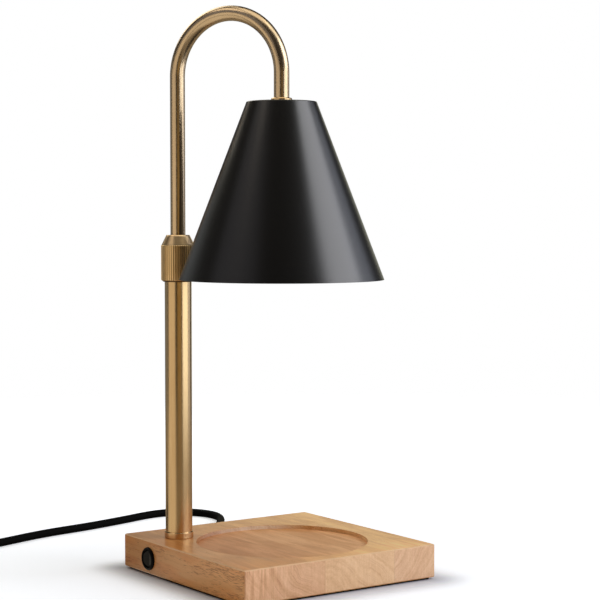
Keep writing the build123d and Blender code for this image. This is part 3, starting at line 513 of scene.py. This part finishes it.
# ------------------------------------------------------------------ hook-and-loop tie round the coil
def tie():
    """A strap wound round the coil's turns: a rounded loop with an overlapping end, 10 mm wide and 0.9 mm thick."""
    a = math.radians(40.0)
    lo, hi = 22.9, 43.1
    zb, zt = 0.0, 13.2
    # the loop in (radius, height), rounded where it bends round the strands
    loop = []
    def arc(cx, cz, r, a0, a1, n):
        for i in range(n + 1):
            g = math.radians(a0 + (a1 - a0) * i / n)
            loop.append((cx + r * math.cos(g), cz + r * math.sin(g)))
    arc(lo + 3.6, zb + 3.6, 3.6, 180, 270, 8)
    arc(hi - 3.6, zb + 3.6, 3.6, -90, 0, 8)
    arc(hi - 3.6, zt - 3.6, 3.6, 0, 90, 8)
    arc(lo + 3.6, zt - 3.6, 3.6, 90, 180, 8)
    bm = bmesh.new()
    th, w = 0.9, 5.0
    n = len(loop)
    uvs = []
    def at(r, z, s):
        return Vector(((COIL[0] + r * math.cos(a) - s * math.sin(a)) * MM, (COIL[1] + r * math.sin(a) + s * math.cos(a)) * MM, z * MM))
    rings = []
    for i in range(n):
        p, q = loop[i - 1], loop[(i + 1) % n]
        t = Vector((q[0] - p[0], q[1] - p[1])).normalized()
        nrm = Vector((t[1], -t[0]))      # outward for a loop that runs anticlockwise
        ri, zi = loop[i][0] - nrm[0] * th, loop[i][1] - nrm[1] * th
        ring = []
        for s, out in ((-w, 0.25), (-w * 0.9, 0.0), (-w * 0.45, 0.0), (0.0, 0.0), (w * 0.45, 0.0), (w * 0.9, 0.0), (w, 0.25)):
            ring.append(bm.verts.new(at(loop[i][0] - nrm[0] * out, loop[i][1] - nrm[1] * out, s)))
        for s, out in ((w, -0.25), (w * 0.9, 0.0), (0.0, 0.0), (-w * 0.9, 0.0), (-w, -0.25)):
            ring.append(bm.verts.new(at(ri - nrm[0] * out, zi - nrm[1] * out, s)))
        rings.append(ring)
    m = len(rings[0])
    for i in range(n):
        for j in range(m):
            bm.faces.new((rings[i][j], rings[(i + 1) % n][j], rings[(i + 1) % n][(j + 1) % m], rings[i][(j + 1) % m]))
    # the overlapping end: a second layer on top with a rounded tip
    def layer(r0, r1, z, thick, width, n=26):
        prev = None
        for i in range(n + 1):
            f = i / n
            r = r0 + (r1 - r0) * f
            tip = max(0.0, (f - 0.82) / 0.18)
            hw = width * math.sqrt(max(0.02, 1 - tip * tip))
            lift = 0.35 * max(0.0, (f - 0.7) / 0.3) ** 2
            cur = [bm.verts.new(at(r, z + lift, -hw)), bm.verts.new(at(r, z + lift + thick * 0.9, -hw * 0.97)), bm.verts.new(at(r, z + lift + thick, 0)),
                   bm.verts.new(at(r, z + lift + thick * 0.9, hw * 0.97)), bm.verts.new(at(r, z + lift, hw))]
            if prev:
                for j in range(5):
                    bm.faces.new((prev[j], cur[j], cur[(j + 1) % 5], prev[(j + 1) % 5]))
            else:
                bm.faces.new(cur)
            prev = cur
        bm.faces.new(list(reversed(prev)))
    layer(lo + 4.2, hi - 4.6, zt, 0.55, 4.9)
    bmesh.ops.recalc_face_normals(bm, faces=bm.faces)
    me = bpy.data.meshes.new("tie_strap")
    bm.to_mesh(me)
    bm.free()
    for p in me.polygons:
        p.use_smooth = True
    o = bpy.data.objects.new("tie_strap", me)
    scene.collection.objects.link(o)
    me.materials.append(M["tie_fabric"])
    return o


strap = tie()
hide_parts("cord_tie")
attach(strap, "base")


# ------------------------------------------------------------------ gooseneck arm, smooth along its bend
def arm():
    ux, uy = math.cos(ARM_DIR), math.sin(ARM_DIR)
    def place(along, z):
        return Vector((POLE[0] + ux * along, POLE[1] + uy * along, z))
    line = []
    z0, z1 = 131.4, 302.0
    for i in range(25):
        line.append((place(0, z0 + (ARM_SPRING - z0) * i / 24), Vector((0, 0, 1))))
    for i in range(1, 181):
        g = math.pi * i / 180
        line.append((place(BEND_R - BEND_R * math.cos(g), ARM_SPRING + BEND_R * math.sin(g)), Vector((ux * math.sin(g), uy * math.sin(g), math.cos(g)))))
    for i in range(1, 5):
        line.append((place(2 * BEND_R, ARM_SPRING + (z1 - ARM_SPRING) * i / 4), Vector((0, 0, -1))))
    side = Vector((-uy, ux, 0))
    bm = bmesh.new()
    uvl = bm.loops.layers.uv.new("along")
    SEG = 80
    outer, inner, vs = [], [], []
    v = 0.0
    for i, (c, t) in enumerate(line):
        if i:
            v += (c - line[i - 1][0]).length * MM
        vs.append(v)
        up = side.cross(t).normalized()
        outer.append([bm.verts.new((c + (side * math.cos(2 * math.pi * j / SEG) + up * math.sin(2 * math.pi * j / SEG)) * 5.0) * MM) for j in range(SEG)])
        inner.append([bm.verts.new((c + (side * math.cos(2 * math.pi * j / SEG) + up * math.sin(2 * math.pi * j / SEG)) * 4.1) * MM) for j in range(SEG)])
    def wrap(a, b, i, flip):
        for j in range(SEG):
            k = (j + 1) % SEG
            quad = (a[j], a[k], b[k], b[j])
            uvq = ((j / SEG, vs[i]), ((j + 1) / SEG, vs[i]), ((j + 1) / SEG, vs[i + 1]), (j / SEG, vs[i + 1]))
            if flip:
                quad, uvq = quad[::-1], uvq[::-1]
            f = bm.faces.new(quad)
            f.smooth = True
            for l, q in zip(f.loops, uvq):
                l[uvl].uv = q
    for i in range(len(line) - 1):
        wrap(outer[i], outer[i + 1], i, False)
        wrap(inner[i], inner[i + 1], i, True)
    for e, flip in ((0, True), (-1, False)):
        for j in range(SEG):
            k = (j + 1) % SEG
            quad = (outer[e][j], outer[e][k], inner[e][k], inner[e][j])
            bm.faces.new(quad[::-1] if flip else quad)
    bmesh.ops.recalc_face_normals(bm, faces=bm.faces)
    me = bpy.data.meshes.new("gooseneck")
    bm.to_mesh(me)
    bm.free()
    me.materials.append(M["brass_arm"])
    o = bpy.data.objects.new("gooseneck", me)
    scene.collection.objects.link(o)
    return o


neck = arm()
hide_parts("arm_tube")
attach(neck, "arm")


# ------------------------------------------------------------------ floor
def floor():
    me = bpy.data.meshes.new("floor")
    bm = bmesh.new()
    bmesh.ops.create_circle(bm, cap_ends=True, cap_tris=False, segments=96, radius=1.6)
    bm.to_mesh(me)
    bm.free()
    o = bpy.data.objects.new("floor", me)
    o.location = (0, 0, -0.0001)
    scene.collection.objects.link(o)
    k = Net("pale_floor")
    r = k.vmath("LENGTH", k.coord.outputs["Object"])
    fade = k.range(r, 0.60, 1.20, 0.0, 1.0)
    # how far a point of the floor lies from the base's outline
    gap = k.vmath("MAXIMUM", k.vmath("SUBTRACT", k.vmath("ABSOLUTE", k.coord.outputs["Object"]), (0.072, 0.072, 9.0)), (0.0, 0.0, 0.0))
    gap = k.vmath("LENGTH", gap)
    # what the floor gives back to the object is dimmer than what is seen of it, so brass doesn't wash out
    path = k.n("ShaderNodeLightPath")
    seen, mirrored = path.outputs["Is Camera Ray"], path.outputs["Is Glossy Ray"]
    # painted shadow: the floor's glow rises from nothing at the base's outline, so the floor is darker close round the
    # base
    pale = k.math("ADD", k.range(gap, 0.0, 0.034, 0.0, FLOOR_GLOW[0]), k.range(gap, 0.02, 0.30, 0.0, FLOOR_GLOW[1]))
    pale = k.math("MULTIPLY", pale, k.math("MULTIPLY_ADD", seen, 0.62, 0.38))
    pale = k.math("MULTIPLY", pale, k.math("MULTIPLY_ADD", mirrored, -0.75, 1.0))
    # brass mirrors a lit stretch of floor to its left and a dim one in front; bearings are taken from the pole's foot
    away = k.vmath("SUBTRACT", k.coord.outputs["Object"], (POLE[0] * MM, POLE[1] * MM, 0.0))
    to_right = k.vmath("DOT_PRODUCT", away, (0.8208, -0.5712, 0.0))
    to_front = k.vmath("DOT_PRODUCT", away, (-0.5712, -0.8208, 0.0))
    bearing = k.math("ARCTAN2", to_right, to_front)
    lit = k.math("MULTIPLY", k.range(bearing, math.radians(-30), math.radians(-8), 1.0, 0.0), k.range(bearing, math.radians(-118), math.radians(-86)))
    lit = k.math("MULTIPLY", lit, mirrored)
    glow = k.mix(lit, k.vmath("SCALE", (1.0, 1.0, 1.0), scale=pale), FLOOR_LEFT)
    # painted shadow: the floor's colour is darker within 30 mm of the base
    near = k.range(gap, 0.0, 0.030)
    k.set(Base_Color=k.mix(mirrored, k.mix(near, (0.63, 0.68, 0.80), (0.75, 0.81, 0.93)), (0.30, 0.25, 0.17)), Roughness=0.7, Specular_IOR_Level=0.2,
          Emission_Color=glow, Emission_Strength=1.0)
    clear = k.n("ShaderNodeBsdfTransparent")
    mixer = k.n("ShaderNodeMixShader")
    k.put(fade, mixer.inputs[0])
    k.t.links.new(k.b.outputs[0], mixer.inputs[1])
    k.t.links.new(clear.outputs[0], mixer.inputs[2])
    k.t.links.new(mixer.outputs[0], k.out.inputs[0])
    me.materials.append(k.m)
    return o


# ------------------------------------------------------------------ light
FLOOR_GLOW = (0.46, 0.30)
FLOOR_LEFT = (0.60, 0.55, 0.46)
AMBIENT = (0.024, 0.021, 0.020)
# name, azimuth from the photograph's viewpoint (positive to its right), elevation, distance, width, height, radiance
LIGHTS = [
    ("key", 80, 31, 1.6, 1.16, 0.95, (2.90, 2.91, 3.04)),
    ("right_low", 66, 0, 1.6, 1.60, 0.80, (2.00, 2.08, 2.10)),
    ("right_high", 80, 60, 1.6, 0.90, 0.80, (1.40, 1.40, 1.25)),
    ("right_side", 110, 10, 1.6, 0.90, 1.20, (0.74, 0.78, 0.90)),
    ("left_low", -56, 0, 1.7, 2.10, 0.80, (0.84, 0.74, 0.58)),
    ("left_mid", -60, 30, 1.7, 1.60, 0.85, (0.17, 0.17, 0.19)),
    ("left_high", -78, 54, 1.6, 0.80, 0.50, (1.50, 1.33, 1.10)),
    ("overhead", 0, 86, 1.5, 1.10, 1.10, (1.25, 1.15, 0.95)),
    ("front_low", 12, -2, 1.8, 1.10, 0.60, (0.36, 0.24, 0.07)),
    ("left_back", -125, 3, 1.7, 1.70, 0.90, (0.21, 0.22, 0.22)),
    ("back_left", -150, 38, 1.6, 0.95, 0.90, (2.00, 1.90, 1.60)),
    ("back_low", 170, 5, 1.7, 1.10, 0.80, (0.56, 0.56, 0.44)),
]
# ---- end of lights
floor()
world = bpy.data.worlds.new("studio")
scene.world = world
world.use_nodes = True
wt = world.node_tree
wt.nodes.clear()
w_out = wt.nodes.new("ShaderNodeOutputWorld")
w_mix = wt.nodes.new("ShaderNodeMixShader")
w_path = wt.nodes.new("ShaderNodeLightPath")
w_seen = wt.nodes.new("ShaderNodeBackground")
w_lit = wt.nodes.new("ShaderNodeBackground")
w_seen.inputs[0].default_value = (1, 1, 1, 1)
w_seen.inputs[1].default_value = 1.0
w_lit.inputs[0].default_value = (*AMBIENT, 1)
w_lit.inputs[1].default_value = 1.0
wt.links.new(w_path.outputs["Is Camera Ray"], w_mix.inputs[0])
wt.links.new(w_lit.outputs[0], w_mix.inputs[1])
wt.links.new(w_seen.outputs[0], w_mix.inputs[2])
wt.links.new(w_mix.outputs[0], w_out.inputs[0])

FWD = Vector((0.5712, 0.8208, 0)).normalized()
RIGHT = Vector((0.8208, -0.5712, 0)).normalized()


def softbox(name, azimuth, elevation, distance, wide, high, radiance, target=(-0.03, 0.0, 0.18)):
    d = bpy.data.lights.new(name, "AREA")
    d.shape = "RECTANGLE"
    d.size, d.size_y = wide, high
    top = max(radiance)
    d.energy = top * math.pi * wide * high
    d.color = [c / top for c in radiance]
    o = bpy.data.objects.new(name, d)
    a, e = math.radians(azimuth), math.radians(elevation)
    way = (-FWD * math.cos(a) + RIGHT * math.sin(a)) * math.cos(e) + Vector((0, 0, 1)) * math.sin(e)
    o.location = Vector(target) + way * distance
    o.rotation_mode = "QUATERNION"
    o.rotation_quaternion = (-way).to_track_quat("-Z", "Y")
    o.visible_camera = False
    scene.collection.objects.link(o)
    return o


for one in LIGHTS:
    softbox(*one)

scene.view_settings.view_transform = "Standard"
scene.view_settings.look = "None"
scene.view_settings.exposure = 0.0

# ------------------------------------------------------------------ view layer update
bpy.context.view_layer.update()
